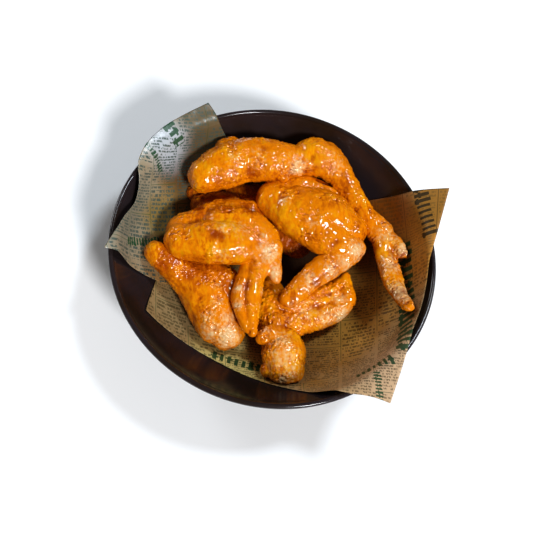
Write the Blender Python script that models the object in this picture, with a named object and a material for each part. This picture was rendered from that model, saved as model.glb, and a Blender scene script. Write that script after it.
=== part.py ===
"""A serving of glazed chicken wings in a dark round bowl, on two sheets of greaseproof paper.

Nine pieces: the bowl, the left and right paper liners, and six wings. The two liners follow one
shared surface that lies along the bowl's inside and runs out over its lip. Each wing is a set of
tapering limbs (drumette, flat, tip and thumb) melted into one skin, then bedded on the liners
and on the wings below it.

Lengths are in millimetres until a mesh is made. The origin is the centre of the bowl's foot.
"""
import math

import bpy
import numpy as np

MM = 0.001
GAP = 0.35                       # clearance kept between touching pieces

# Bowl
FOOT_RADIUS = 54.0
FOOT_HEIGHT = 3.0
FLOOR_HEIGHT = 6.0               # top of the floor inside
FLOOR_RADIUS = 52.0
WALL = 2.6
RIM_INNER = 121.0
RIM_HEIGHT = 66.0
LIP_BEAD = 2.0                   # radius of the rounded lip
WALL_CURVE = [(FLOOR_RADIUS, FLOOR_HEIGHT), (84.0, 7.0), (108.0, 36.0), (RIM_INNER, 64.5)]
BOWL_SEGMENTS = 56

# Liners: where the paper leaves the wall, the point it crosses the lip at, and its free end
LEAVES_WALL = 0.75               # share of the wall curve
OVER_LIP = (120.6, 70.0)
FLAP_END = (172.0, 80.0)
PAPER = 0.5
PAPER_GAP = 0.9                  # between the two sheets, whose facets differ
LINER_HEIGHTS = {"liner_right": GAP, "liner_left": GAP + PAPER + PAPER_GAP}
BED_HEIGHT = LINER_HEIGHTS["liner_left"] + PAPER + PAPER_GAP
WAVE_COUNT = 7                   # soft pleats round the wall
WAVE_HEIGHT = 2.2
LINER_STEPS = 18

# Corners of each liner, as distance along the paper from the bowl's centre and bearing in degrees
LINER_CORNERS = {
    "liner_right": [(180.0, 40.3), (177.0, -39.0), (121.0, 226.0), (86.0, 151.0)],
    "liner_left": [(160.0, 204.5), (163.0, 134.0), (76.0, 95.0), (30.0, 228.0)],
}
# How far each edge bows inwards, and how much more it does so in its first half than its second
LINER_BOWS = {
    "liner_right": [(-10.0, 1.0), (1.0, 2.0), (0.0, 0.0), (2.0, 0.0)],
    "liner_left": [(-24.0, 7.0), (4.0, 0.0), (0.0, 0.0), (0.0, 0.0)],
}

# Wings, from the bottom of the heap upwards. Each limb is its thickness over its width, and the
# places it passes through as (x, y, z, half width).
WINGS = {
    "wing_lower_left": {
        "drumette": (0.82, [(-88, -27, 42, 8), (-77, -32, 38, 12), (-59, -35, 31, 16),
                            (-41, -39, 27, 19), (-30, -51, 25, 18), (-22, -60, 24, 17),
                            (-17, -64, 23, 13)]),
        "inner side": (0.8, [(-50, -27, 29, 13), (-34, -29, 27, 15), (-24, -42, 25, 14)]),
    },
    "wing_under": {
        "drumette": (0.85, [(-72, 31, 28, 11), (-59, 36, 24, 14), (-38, 38, 22, 15),
                            (-12, 37, 20, 14), (14, 33, 21, 12)]),
        "thick end": (0.85, [(-34, 42, 25, 13), (-16, 56, 26, 12)]),
    },
    "wing_lower": {
        "drumette": (0.85, [(20, -46, 26, 12), (26, -54, 26, 14), (33, -66, 26, 15.5),
                            (37, -74, 28, 12)]),
        "flat": (0.75, [(22, -45, 25, 12), (36, -35, 24, 14), (51, -21, 24, 14),
                        (63, -8, 26, 12), (69, -2, 29, 9)]),
        "second bone": (0.8, [(12, -32, 24, 11), (30, -20, 26, 12), (46, -8, 27, 11),
                              (59, 5, 29, 8)]),
        "fold": (0.9, [(68, 0, 31, 7), (61, 8, 31, 6)]),
        "back": (0.8, [(19, -46, 25, 12), (9, -30, 22, 13), (5, -16, 20, 11)]),
        "knuckle": (0.9, [(17, -58, 31, 6), (11, -57, 32, 5.5)]),
    },
    "wing_left": {
        "flat": (0.72, [(-70, -13, 46, 14), (-53, -8, 48, 17), (-34, -1, 49, 17.5),
                        (-14, 4, 48, 13.5), (-6, 3, 47, 11)]),
        "drumette": (0.7, [(-74, -4, 43, 12), (-62, 8, 43, 14), (-47, 23, 43, 14),
                           (-30, 33, 42, 12)]),
        "web": (0.65, [(-47, 12, 46, 14), (-27, 18, 46, 14), (-11, 12, 47, 11)]),
        "hand": (0.7, [(-7, 4, 47, 12), (-10, -9, 44, 11)]),
        "tip": (0.8, [(-9, -9, 44, 9), (-8, -22, 42, 7), (-2, -36, 41, 6.5), (2, -48, 40, 6),
                      (5, -59, 39, 5)]),
        "tip_edge": (0.9, [(-14, -9, 43, 9), (-17, -27, 41, 6), (-13, -40, 40, 6),
                           (-4, -52, 39, 5.5), (3, -59, 38, 4.5)]),
        "thumb": (0.8, [(-1, 2, 46, 7), (5, -8, 44, 5.5), (9, -15, 42, 4)]),
    },
    "wing_right": {
        "flat": (0.72, [(-16, 50, 45, 14), (6, 42, 48, 18), (30, 34, 49, 17), (49, 30, 47, 14)]),
        "drumette": (0.7, [(-15, 58, 43, 12), (4, 65, 45, 12), (26, 71, 44, 14), (46, 71, 42, 12)]),
        "web": (0.65, [(5, 55, 45, 14), (29, 54, 46, 18), (49, 51, 44, 14)]),
        "tip": (0.72, [(54, 30, 46, 12.5), (45, 14, 45, 11), (35, -1, 43, 9.5), (27, -15, 41, 8),
                       (22, -26, 39, 6.5)]),
    },
    "wing_top": {
        "drumette": (0.88, [(-76, 49, 50, 13.5), (-64, 62, 50, 17), (-49, 73, 52, 18),
                            (-31, 82, 54, 15.5), (-10, 87, 55, 12)]),
        "elbow": (0.85, [(-10, 87, 55, 12), (2, 94, 55, 15.5), (13, 97, 54, 17), (25, 96, 51, 13.5)]),
        "flat": (0.8, [(25, 96, 51, 13.5), (37, 84, 48, 11.5), (51, 72, 44, 10.5), (74, 60, 41, 10)]),
        "tip": (0.75, [(74, 60, 42, 10), (82, 44, 43, 9), (89, 26, 46, 8), (97, 10, 51, 7),
                       (103, -1, 58, 5.5), (108, -9, 65, 4)]),
        "thumb": (0.8, [(78, 55, 43, 7), (89, 48, 47, 5.5), (95, 41, 49, 4.5)]),
    },
}
LIMB_SEGMENTS = 16
LIMB_STEP = 2.5                  # spacing of a limb's sections
SKIN_VOXEL = 2.6
SKIN_SMOOTHING = 6
SKIN_PLUMPING = 1.0              # makes up for what the smoothing takes off
WING_TRIANGLES = 590

# Colours (linear RGB) and finish
BOWL_COLOUR = (0.012, 0.010, 0.011, 1.0)
PAPER_COLOUR = (0.20, 0.13, 0.05, 1.0)
GLAZE_COLOUR = (0.72, 0.21, 0.012, 1.0)


def clear_scene():
    for item in list(bpy.data.objects):
        bpy.data.objects.remove(item, do_unlink=True)


def material(name, colour, roughness):
    made = bpy.data.materials.new(name)
    made.use_nodes = True
    principled = made.node_tree.nodes["Principled BSDF"]
    principled.inputs["Base Color"].default_value = colour
    principled.inputs["Roughness"].default_value = roughness
    principled.inputs["Metallic"].default_value = 0.0
    made.diffuse_color = colour
    return made


def add_object(name, points, faces, finish):
    """Make an object from points in millimetres."""
    mesh = bpy.data.meshes.new(name)
    mesh.from_pydata((np.asarray(points) * MM).tolist(), [], faces)
    mesh.validate()
    mesh.shade_smooth()
    mesh.materials.append(finish)
    made = bpy.data.objects.new(name, mesh)
    bpy.context.scene.collection.objects.link(made)
    return made


def bezier(controls, share):
    """Points of a cubic curve at the given shares (0 to 1)."""
    share = np.atleast_1d(share)[:, None]
    rest = 1.0 - share
    a, b, c, d = np.asarray(controls, dtype=float)
    return rest**3 * a + 3 * rest**2 * share * b + 3 * rest * share**2 * c + share**3 * d


def side_normal(path):
    """Unit normals on the left of a path in the radius-height plane."""
    along = np.gradient(path, axis=0)
    along /= np.linalg.norm(along, axis=1)[:, None]
    return np.stack([-along[:, 1], along[:, 0]], axis=1)


def grid_faces(rows, columns, first=0, wrap=False):
    """Quads of a grid of points stored row by row; wrap joins the last column to the first."""
    faces = []
    for row in range(rows - 1):
        for column in range(columns if wrap else columns - 1):
            following = (column + 1) % columns
            low = first + row * columns
            high = low + columns
            faces.append((low + column, low + following, high + following, high + column))
    return faces


# --- Bowl ----------------------------------------------------------------------------------

def bowl_profile():
    """Radius and height from the middle of the underside, round the lip, to the floor's middle."""
    inner = bezier(WALL_CURVE, np.linspace(0.0, 1.0, 9))
    outer = inner - WALL * side_normal(inner)
    outer = outer[outer[:, 1] > FOOT_HEIGHT + 1.0]
    lip_middle = np.array([RIM_INNER + LIP_BEAD, RIM_HEIGHT - LIP_BEAD])
    turns = np.radians(np.linspace(-20.0, 180.0, 6))
    lip = lip_middle + LIP_BEAD * np.stack([np.cos(turns), np.sin(turns)], axis=1)
    foot = [(FOOT_RADIUS * 0.5, 0.0), (FOOT_RADIUS, 0.0), (FOOT_RADIUS + 1.5, 1.0),
            (FOOT_RADIUS + 2.5, FOOT_HEIGHT)]
    floor = [(FLOOR_RADIUS * 0.5, FLOOR_HEIGHT)]
    return np.concatenate([foot, outer[:-1], lip, inner[-2::-1], floor])


def turned(profile, segments, bottom, top):
    """A closed turned solid: the profile's rings, with a pole at each end on the axis."""
    angles = np.linspace(0.0, 2 * math.pi, segments, endpoint=False)
    radius = profile[:, 0][:, None]
    height = np.repeat(profile[:, 1][:, None], segments, axis=1)
    rings = np.stack([radius * np.cos(angles), radius * np.sin(angles), height], axis=2)
    points = np.concatenate([rings.reshape(-1, 3), [(0, 0, bottom), (0, 0, top)]])
    faces = grid_faces(len(profile), segments, wrap=True)
    last = (len(profile) - 1) * segments
    for column in range(segments):
        following = (column + 1) % segments
        faces.append((len(points) - 2, following, column))
        faces.append((len(points) - 1, last + column, last + following))
    return points, faces


def build_bowl():
    points, faces = turned(bowl_profile(), BOWL_SEGMENTS, 0.0, FLOOR_HEIGHT)
    add_object("bowl", points, faces, material("bowl glaze", BOWL_COLOUR, 0.15))


# --- Paper ---------------------------------------------------------------------------------

def paper_profile():
    """The paper's run from the bowl's centre, up the wall, over the lip and out."""
    floor = np.array([(0.0, FLOOR_HEIGHT), (FLOOR_RADIUS * 0.5, FLOOR_HEIGHT)])
    wall = bezier(WALL_CURVE, np.linspace(0.0, LEAVES_WALL, 16))
    heading = wall[-1] - wall[-2]
    heading /= np.linalg.norm(heading)
    over = np.array(OVER_LIP)
    outward = np.array([0.80, 0.60])
    rise = bezier([wall[-1], wall[-1] + 9 * heading, over - 5 * outward, over],
                  np.linspace(0.0, 1.0, 8))
    flap = bezier([over, over + 8 * outward, np.array(FLAP_END) - (22.0, 3.0), FLAP_END],
                  np.linspace(0.0, 1.0, 10))
    return np.concatenate([floor, wall, rise[1:], flap[1:]])


def paper_point(distance, bearing, height):
    """World points of places on the paper, `height` above the run of the paper."""
    profile = paper_profile()
    steps = np.linalg.norm(np.diff(profile, axis=0), axis=1)
    reach = np.concatenate([[0.0], np.cumsum(steps)])
    normal = side_normal(profile)
    radius = np.interp(distance, reach, profile[:, 0])
    level = np.interp(distance, reach, profile[:, 1])
    lean = np.stack([np.interp(distance, reach, normal[:, 0]),
                     np.interp(distance, reach, normal[:, 1])], axis=-1)
    lean /= np.linalg.norm(lean, axis=-1)[..., None]
    grown = np.clip((distance - 85.0) / 70.0, 0.0, 1.0)
    pleat = 0.5 - 0.5 * np.cos(WAVE_COUNT * bearing + 0.6 * np.sin(2 * bearing))
    total = height + WAVE_HEIGHT * grown**2 * pleat
    radius = radius + total * lean[..., 0]
    return np.stack([radius * np.cos(bearing), radius * np.sin(bearing),
                     level + total * lean[..., 1]], axis=-1)


def liner_places(name, steps):
    """Distance and bearing of a liner's grid: four corners, with edges that bow inwards."""
    corners = np.array([(length * math.cos(math.radians(angle)),
                         length * math.sin(math.radians(angle)))
                        for length, angle in LINER_CORNERS[name]])
    middle = corners.mean(axis=0)
    share = np.linspace(0.0, 1.0, steps)[:, None]
    edges = []
    for index, (bow, lean) in enumerate(LINER_BOWS[name]):
        start = corners[index]
        end = corners[(index + 1) % 4]
        inwards = middle - (start + end) / 2
        inwards /= np.linalg.norm(inwards)
        depth = bow * np.sin(math.pi * share) + lean * np.sin(2 * math.pi * share)
        edges.append(start + (end - start) * share + depth * inwards)
    near, right, far, left = edges[0], edges[1], edges[2][::-1], edges[3][::-1]
    u = share[:, :, None]
    v = share.reshape(1, -1, 1)
    sides = (1 - v) * near[:, None] + v * far[:, None]
    ends = (1 - u) * left[None] + u * right[None]
    bilinear = ((1 - u) * (1 - v) * corners[0] + u * (1 - v) * corners[1]
                + u * v * corners[2] + (1 - u) * v * corners[3])
    flat = sides + ends - bilinear
    return np.hypot(flat[..., 0], flat[..., 1]), np.arctan2(flat[..., 1], flat[..., 0])


def build_liner(name):
    distance, bearing = liner_places(name, LINER_STEPS)
    low = LINER_HEIGHTS[name]
    under = paper_point(distance, bearing, low).reshape(-1, 3)
    over = paper_point(distance, bearing, low + PAPER).reshape(-1, 3)
    count = LINER_STEPS
    faces = [tuple(reversed(face)) for face in grid_faces(count, count)]
    faces += grid_faces(count, count, first=count * count)
    border = ([row * count for row in range(count)]
              + [(count - 1) * count + column for column in range(1, count)]
              + [row * count + count - 1 for row in range(count - 2, -1, -1)]
              + list(range(count - 2, 0, -1)))
    for here, there in zip(border, border[1:] + border[:1]):
        faces.append((there, here, here + count * count, there + count * count))
    add_object(name, np.concatenate([under, over]), faces,
               material(name + " paper", PAPER_COLOUR, 0.45))


def build_bed():
    """A cutter that fills everything below the paper's upper side, out past the bowl."""
    distance = np.concatenate([np.linspace(12.0, 130.0, 26), np.linspace(134.0, 190.0, 10)])
    bearing = np.linspace(0.0, 2 * math.pi, 72, endpoint=False)
    upper = paper_point(*np.meshgrid(distance, bearing, indexing="ij"), BED_HEIGHT)
    ring = np.stack([200 * np.cos(bearing), 200 * np.sin(bearing), 0 * bearing - 20.0], axis=1)
    rows = np.concatenate([upper, ring[None]]).reshape(-1, 3)
    points = np.concatenate([rows, [(0, 0, FLOOR_HEIGHT + BED_HEIGHT), (0, 0, -20.0)]])
    count = len(bearing)
    faces = [tuple(reversed(face)) for face in grid_faces(len(distance) + 1, count, wrap=True)]
    last = len(distance) * count
    for column in range(count):
        following = (column + 1) % count
        faces.append((len(points) - 2, column, following))
        faces.append((len(points) - 1, last + following, last + column))
    bed = add_object("bed", points, faces, material("bed", PAPER_COLOUR, 0.5))
    hide_guide(bed)
    return bed


# --- Wings ---------------------------------------------------------------------------------

def smooth_path(places, step):
    """Resample places along a curve through them, about `step` apart."""
    places = np.asarray(places, dtype=float)
    ends = np.concatenate([[2 * places[0] - places[1]], places, [2 * places[-1] - places[-2]]])
    runs = []
    for a, b, c, d in zip(ends[:-3], ends[1:-2], ends[2:-1], ends[3:]):
        count = max(2, int(np.linalg.norm(c[:3] - b[:3]) / step))
        share = np.linspace(0.0, 1.0, count, endpoint=False)[:, None]
        runs.append(0.5 * (2 * b + (c - a) * share + (2 * a - 5 * b + 4 * c - d) * share**2
                           + (3 * b - a - 3 * c + d) * share**3))
    return np.concatenate(runs + [places[-1:]])


def limb(places, thickness):
    """A closed tapering tube of flattened sections, with rounded ends."""
    path = smooth_path(places, LIMB_STEP)
    centre, half = path[:, :3], path[:, 3]
    along = np.gradient(centre, axis=0)
    along /= np.linalg.norm(along, axis=1)[:, None]
    turns = np.radians([75.0, 50.0, 25.0])
    start = centre[0] - np.outer(half[0] * np.sin(turns), along[0])
    end = centre[-1] + np.outer(half[-1] * np.sin(turns[::-1]), along[-1])
    centre = np.concatenate([start, centre, end])
    half = np.concatenate([half[0] * np.cos(turns), half, half[-1] * np.cos(turns[::-1])])
    along = np.concatenate([along[:1]] * 3 + [along] + [along[-1:]] * 3)
    across = np.cross(along, (0.0, 0.0, 1.0))
    across /= np.linalg.norm(across, axis=1)[:, None]
    upright = np.cross(across, along)
    angles = np.linspace(0.0, 2 * math.pi, LIMB_SEGMENTS, endpoint=False)
    ring = (np.cos(angles)[None, :, None] * across[:, None]
            + thickness * np.sin(angles)[None, :, None] * upright[:, None])
    rings = centre[:, None] + half[:, None, None] * ring
    tips = [centre[0] - 0.1 * half[0] * along[0], centre[-1] + 0.1 * half[-1] * along[-1]]
    points = np.concatenate([rings.reshape(-1, 3), tips])
    faces = [tuple(reversed(face)) for face in grid_faces(len(centre), LIMB_SEGMENTS, wrap=True)]
    last = (len(centre) - 1) * LIMB_SEGMENTS
    for column in range(LIMB_SEGMENTS):
        following = (column + 1) % LIMB_SEGMENTS
        faces.append((len(points) - 2, column, following))
        faces.append((len(points) - 1, last + following, last + column))
    return points, faces


def wing_mesh(name):
    """All limbs of a wing, as overlapping closed tubes."""
    points, faces = [], []
    first = 0
    for thickness, places in WINGS[name].values():
        limb_points, limb_faces = limb(places, thickness)
        points.append(limb_points)
        faces += [tuple(corner + first for corner in face) for face in limb_faces]
        first += len(limb_points)
    return np.concatenate(points), faces


def melt(wing):
    """Melt overlapping limbs into one smooth skin of about WING_TRIANGLES triangles."""
    remesh = wing.modifiers.new("one skin", "REMESH")
    remesh.mode = "VOXEL"
    remesh.voxel_size = SKIN_VOXEL * MM
    smooth = wing.modifiers.new("soften", "SMOOTH")
    smooth.factor = 0.5
    smooth.iterations = SKIN_SMOOTHING
    plump = wing.modifiers.new("plump", "DISPLACE")
    plump.mid_level = 0.0
    plump.strength = SKIN_PLUMPING * MM
    melted = len(evaluated_mesh(wing).loop_triangles)
    thin_out = wing.modifiers.new("thin out", "DECIMATE")
    thin_out.ratio = min(1.0, WING_TRIANGLES / melted)


def evaluated_mesh(item):
    bpy.context.view_layer.update()
    mesh = item.evaluated_get(bpy.context.evaluated_depsgraph_get()).to_mesh()
    mesh.calc_loop_triangles()
    return mesh


def hide_guide(item):
    item.hide_render = True
    item.display_type = "WIRE"


def swollen_copy(wing):
    """A cutter one gap larger than the wing."""
    copy = bpy.data.objects.new(wing.name + "_swollen", wing.data)
    bpy.context.scene.collection.objects.link(copy)
    for source in wing.modifiers:
        if source.type == "BOOLEAN":
            continue
        made = copy.modifiers.new(source.name, source.type)
        for key in ("mode", "voxel_size", "factor", "iterations", "mid_level", "strength", "ratio"):
            if hasattr(source, key):
                setattr(made, key, getattr(source, key))
    swell = copy.modifiers.new("swell", "DISPLACE")
    swell.mid_level = 0.0
    swell.strength = 1.4 * GAP * MM
    hide_guide(copy)
    return copy


def cut(item, cutter):
    taken = item.modifiers.new("clear of " + cutter.name, "BOOLEAN")
    taken.operation = "DIFFERENCE"
    taken.solver = "EXACT"
    taken.object = cutter


def build_wings():
    """Each wing is bedded on the paper and on the wings below it."""
    bed = build_bed()
    below = []
    glaze = material("orange glaze", GLAZE_COLOUR, 0.3)
    for name in WINGS:
        points, faces = wing_mesh(name)
        wing = add_object(name, points, faces, glaze.copy())
        melt(wing)
        cut(wing, bed)
        for lower in below:
            cut(wing, lower)
        below.append(swollen_copy(wing))


clear_scene()
build_bowl()
for liner in LINER_HEIGHTS:
    build_liner(liner)
build_wings()
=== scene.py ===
"""A chicken wings serving, dressed for the camera: dark bowl, two printed papers and six wings.

Laid out as a Blender add-on and run as a script. Lengths are in millimetres until a mesh is made.
"""
import math

import bpy
import numpy as np
from bpy.props import FloatProperty, FloatVectorProperty, IntProperty, PointerProperty
from bpy.types import Operator, Panel, PropertyGroup
from mathutils import Matrix


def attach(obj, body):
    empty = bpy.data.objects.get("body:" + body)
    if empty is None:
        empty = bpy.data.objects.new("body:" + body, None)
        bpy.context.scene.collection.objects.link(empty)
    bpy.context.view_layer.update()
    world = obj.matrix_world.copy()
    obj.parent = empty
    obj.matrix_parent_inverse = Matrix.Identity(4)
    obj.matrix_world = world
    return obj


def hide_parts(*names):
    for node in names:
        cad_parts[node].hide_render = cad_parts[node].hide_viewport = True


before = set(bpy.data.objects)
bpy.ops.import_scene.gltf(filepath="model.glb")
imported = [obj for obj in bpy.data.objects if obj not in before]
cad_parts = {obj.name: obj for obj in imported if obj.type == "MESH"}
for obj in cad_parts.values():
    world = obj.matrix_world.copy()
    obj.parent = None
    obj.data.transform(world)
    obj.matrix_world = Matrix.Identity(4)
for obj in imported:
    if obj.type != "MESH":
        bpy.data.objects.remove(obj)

bl_info = {
    "name": "Chicken Wings Serving",
    "version": (1, 0, 0),
    "blender": (4, 5, 0),
    "location": "View3D > Sidebar > Serving",
    "description": "Builds a bowl of glazed chicken wings on printed food paper",
    "category": "Add Mesh",
}

MM = 0.001
TURN = 2.0 * math.pi

# The bowl's inside and the run of the paper, as in the part
FLOOR_HEIGHT = 6.0
FLOOR_RADIUS = 52.0
RIM_INNER = 121.0
RIM_HEIGHT = 66.0
WALL_CURVE = [(FLOOR_RADIUS, FLOOR_HEIGHT), (84.0, 7.0), (108.0, 36.0), (RIM_INNER, 64.5)]
LEAVES_WALL = 0.75
OVER_LIP = (120.6, 70.0)
FLAP_END = (172.0, 80.0)
WAVE_COUNT = 7
WAVE_HEIGHT = 2.2
# Millimetres of the flat paper to one unit of its UV map
UV_SPAN = 100.0

# Each liner: height above the bowl, corners as (distance along the paper, bearing in degrees), and
# for each edge how far it bows inwards and how much more in its first half. A notch is the edge it
# is in, its place along that edge, half width and depth; a negative depth is a bulge.
LINERS = {
    "liner_right": {
        "height": 0.55,
        "corners": [(180.0, 40.3), (177.0, -39.0), (118.5, 224.5), (92.0, 155.0)],
        "bows": [(-10.0, 1.0), (0.0, -2.0), (0.0, 0.0), (-4.0, 0.0)],
        "notch": (1, 0.19, 0.10, -9.5),
    },
    "liner_left": {
        "height": 1.85,
        "corners": [(160.0, 204.5), (163.0, 134.0), (76.0, 95.0), (30.0, 228.0)],
        "bows": [(-24.0, 7.0), (4.0, 0.0), (0.0, 0.0), (0.0, 0.0)],
        "notch": (0, 0.36, 0.10, 9.0),
    },
}
BED_HEIGHT = 2.3
FLOOR_HALF = 4000.0

# Wings from the bottom of the heap upwards. Each limb is its thickness over its width, and the
# places it passes through as (x, y, z, half width).
WINGS = {
    "wing_lower_left": {
        "drumette": (0.82, [
            (-86, -27, 41, 8.5), (-76, -30, 38, 10.5), (-60, -33, 31, 13), (-42, -39, 27, 18.5),
            (-30, -50, 25, 18), (-22, -58, 24, 17), (-15, -62, 23, 14)]),
        "cut end": (0.85, [(-31, -61, 22, 9), (-14, -65, 23, 9)]),
        "inner side": (0.8, [
            (-50, -27, 29, 13), (-36, -26, 28, 15), (-26, -32, 27, 14), (-21, -44, 25, 14)]),
    },
    "wing_under": {
        "drumette": (0.85, [
            (-68, 32, 28, 10.5), (-57, 36, 25, 14), (-38, 38, 22, 15), (-12, 37, 20, 14),
            (14, 33, 21, 12)]),
        "thick end": (0.85, [(-34, 42, 24, 13), (-16, 56, 25, 12)]),
        "far side": (0.8, [(-58, 50, 18, 11), (-38, 58, 19, 12), (-20, 62, 22, 11)]),
        "shoulder": (0.8, [(-66, 37, 23, 11), (-44, 43, 22, 13), (-20, 46, 22, 14)]),
        "bone": (0.9, [(-70, 38, 25, 7), (-79, 40, 27, 6)]),
    },
    "wing_lower": {
        "drumette": (0.85, [
            (20, -46, 26, 12), (26, -54, 26, 14), (33, -66, 27, 16.5), (38, -76, 28, 13.5)]),
        "flat": (0.75, [
            (22, -44, 25, 12), (36, -33, 24, 11), (51, -20, 24, 12), (61, -10, 26, 11),
            (66, -5, 29, 7.5)]),
        "second bone": (0.8, [
            (12, -32, 24, 11), (30, -20, 26, 12), (46, -8, 27, 11), (59, 5, 29, 8)]),
        "fold": (0.9, [(66, -2, 31, 6), (60, 7, 31, 5.5), (59, 12.5, 32, 4)]),
        "back": (0.8, [(19, -46, 25, 12), (9, -30, 22, 13), (5, -16, 20, 11)]),
        "knuckle": (0.9, [(19, -56, 31, 6.5), (13.5, -60.5, 33, 5)]),
        "second knuckle": (0.9, [(23, -58, 32, 6.5), (17, -55, 35, 5)]),
        "nub": (0.9, [(28, -74, 27, 9), (25.5, -81, 26, 5.5)]),
    },
    "wing_left": {
        "flat": (0.72, [
            (-70, -13, 46, 14), (-53, -8, 48, 17), (-34, -1, 49, 17.5), (-14, 4, 48, 13.5),
            (-6, 3, 47, 11)]),
        "drumette": (0.7, [
            (-74, -4, 43, 12), (-62, 8, 42, 14), (-47, 23, 40, 13.5), (-30, 32, 39, 12)]),
        "web": (0.72, [(-47, 11, 47, 15), (-27, 16, 47.5, 15), (-12, 11, 48, 12)]),
        "hand": (0.7, [(-7, 4, 47, 12), (-9, -8, 44, 10.5)]),
        "hand web": (0.7, [(-4, -2, 45.5, 9), (0.5, -8, 43.8, 6)]),
        "tip": (0.75, [
            (-9, -9, 44, 9), (-8.5, -22, 43, 7.8), (-5, -36, 42, 7.8), (-1.5, -48, 40, 6),
            (5, -61, 36.5, 3.2)]),
        "tip edge": (0.85, [
            (-14, -11, 43, 6.5), (-15.5, -27, 42, 5.5), (-13, -40, 41, 5.5), (-7, -51, 40, 5),
            (1.5, -59, 37, 3.5)]),
        "thumb": (0.8, [(-1, 2, 46, 7), (4, -7, 44, 5.5), (7.5, -13.5, 42, 4.2)]),
    },
    "wing_right": {
        "flat": (0.72, [(-16, 50, 45, 14), (6, 42, 48, 18), (30, 34, 49, 17), (49, 30, 47, 14)]),
        "drumette": (0.7, [
            (-15, 60, 43, 12), (4, 68.5, 45, 12), (24, 70, 41, 12.5), (43, 62, 37, 10)]),
        "web": (0.78, [(5, 53, 47, 15), (29, 51, 48.5, 19), (49, 46.5, 46, 14.5)]),
        "tip": (0.72, [
            (54, 30, 46, 12.5), (45, 14, 45, 11), (35, -1, 43, 9.5), (27, -15, 41, 8),
            (22, -26, 39, 6.5)]),
    },
    "wing_top": {
        "drumette": (0.88, [
            (-73, 45, 52, 13.5), (-62, 58, 52.5, 17.5), (-48, 70, 53.5, 17.5), (-29.5, 77, 55, 17),
            (-10, 84, 55, 13)]),
        "elbow": (0.85, [
            (-10, 85, 55, 12), (1, 93, 55, 15), (11, 96, 54, 15.5), (21, 94, 51, 12.5)]),
        "bulge": (0.8, [(-24, 73, 53, 9), (-17, 69, 53, 7)]),
        "knob": (0.9, [(-66, 74, 54, 9), (-63, 80, 56, 5)]),
        "flat": (0.8, [
            (22, 95, 51, 12), (34, 85, 49, 9.5), (46.5, 74.5, 48, 8), (59.5, 63.5, 46, 8)]),
        "hand": (0.8, [(59.5, 63.5, 46, 8), (67.5, 60.5, 43, 9.5), (75, 56, 42, 10.5)]),
        "tip": (0.75, [
            (74, 58, 42, 10), (82, 44, 43, 9), (89, 26, 46, 8), (97, 10, 51, 7),
            (103, -1, 58, 5.5), (108, -9, 65, 4)]),
        "thumb": (0.8, [(78, 55, 43, 7), (89, 48, 47, 5.5), (95, 41, 49, 4.5)]),
    },
}

# Folds pressed into the skin seen from above: the line they follow as (x, y), half width and
# depth. A negative depth is a raised ridge.
FOLDS = {
    "wing_top": [
        ([(-14, 98), (-13, 85), (-11, 68)], 1.8, 1.0),
        ([(-45, 48), (-36, 58), (-24, 70)], 2.4, 0.7),
        ([(26, 84), (34, 92)], 1.8, 0.5),
        ([(56, 72), (64, 62)], 1.8, 1.0),
        ([(80, 46), (92, 14)], 1.6, 0.5),
    ],
    "wing_right": [
        ([(-9, 56), (10, 61), (28, 64), (43, 64)], 1.8, 0.4),
        ([(13, 78), (21, 79.5), (29, 82)], 2.2, 3.5),
        ([(32, 10), (41, 24), (51, 33)], 2.2, 0.6),
        ([(54, 16), (42, -1), (31, -17), (26, -28)], 1.8, 0.7),
        ([(52, 66), (54, 53), (60, 40)], 2.0, 0.5),
        ([(-3, 26), (-8, 48)], 3.5, -0.4),
    ],
    "wing_left": [
        ([(-79, -12), (-66, 2), (-53, 10), (-38, 14), (-24, 17)], 2.2, 0.7),
        ([(-62, 12), (-46, 18), (-30, 26)], 1.8, 0.4),
        ([(-81, -16), (-75, -27), (-66, -31)], 1.8, 0.6),
        ([(-15, -10), (-12.5, -24), (-11, -36), (-4, -51), (3, -62)], 1.8, 1.3),
        ([(-46, 1), (-30, 6)], 2.5, -0.4),
    ],
    "wing_lower": [
        ([(18, -34), (33, -29), (46, -18), (60, -12), (72, -5)], 1.9, 0.7),
        ([(39, -17), (51, -8), (60, 1), (70, 6)], 1.8, 1.0),
        ([(8, -68), (14, -63), (19, -52)], 1.6, 1.2),
        ([(15, -47), (30, -46), (42, -42)], 2.2, 0.8),
    ],
    "wing_lower_left": [
        ([(-86, -18), (-72, -40)], 2.6, 0.7),
        ([(-60, -44), (-46, -24)], 3.0, 0.4),
        ([(-28, -72), (-12, -58)], 2.2, 0.4),
        ([(-36, -30), (-30, -53), (-27, -64)], 2.5, -0.4),
    ],
    "wing_under": [
        ([(-60, 28), (-30, 32)], 2.0, 0.6),
    ],
}

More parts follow.
